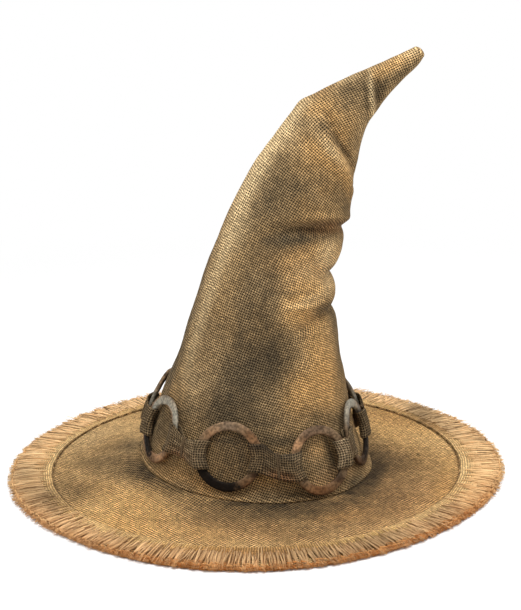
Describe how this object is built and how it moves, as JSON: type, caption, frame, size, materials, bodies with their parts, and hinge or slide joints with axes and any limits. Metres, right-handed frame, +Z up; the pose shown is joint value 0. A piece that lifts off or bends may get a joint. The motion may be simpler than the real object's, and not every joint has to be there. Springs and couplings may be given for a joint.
{
  "type": "scarecrow hat",
  "caption": "Tall bent cone hat of stained burlap with a wide flat frayed brim and a band of metal rings joined by cloth links.",
  "frame": {"origin": "middle of the brim's outline, on the ground that the brim rests on", "axes": "+Z up, -Y towards the wearer's front, +X the side that the crown's tip bends to"},
  "size_m": [0.4504, 0.4504, 0.3835],
  "materials": {
    "crown_burlap": "coarse brown burlap with dark stains and light edges",
    "brim_burlap": "coarse tan burlap, darker by the crown",
    "trim_burlap": "pale straw burlap trim, frayed into strands",
    "cut_edge": "orange-brown frayed fibres",
    "ring_metal": "dark tarnished copper brown with grey-green patina",
    "link_burlap": "dark grey-brown burlap"
  },
  "bodies": {
    "root": {"crown": "crown_burlap", "brim": "brim_burlap", "brim_fringe": "trim_burlap", "brim_edge": "cut_edge", "ring_1": "ring_metal", "ring_2": "ring_metal", "ring_3": "ring_metal", "ring_4": "ring_metal", "ring_5": "ring_metal", "ring_6": "ring_metal", "ring_7": "ring_metal", "ring_8": "ring_metal", "link_1": "link_burlap", "link_2": "link_burlap", "link_3": "link_burlap", "link_4": "link_burlap", "link_5": "link_burlap", "link_6": "link_burlap", "link_7": "link_burlap", "link_8": "link_burlap"}
  },
  "joints": []
}
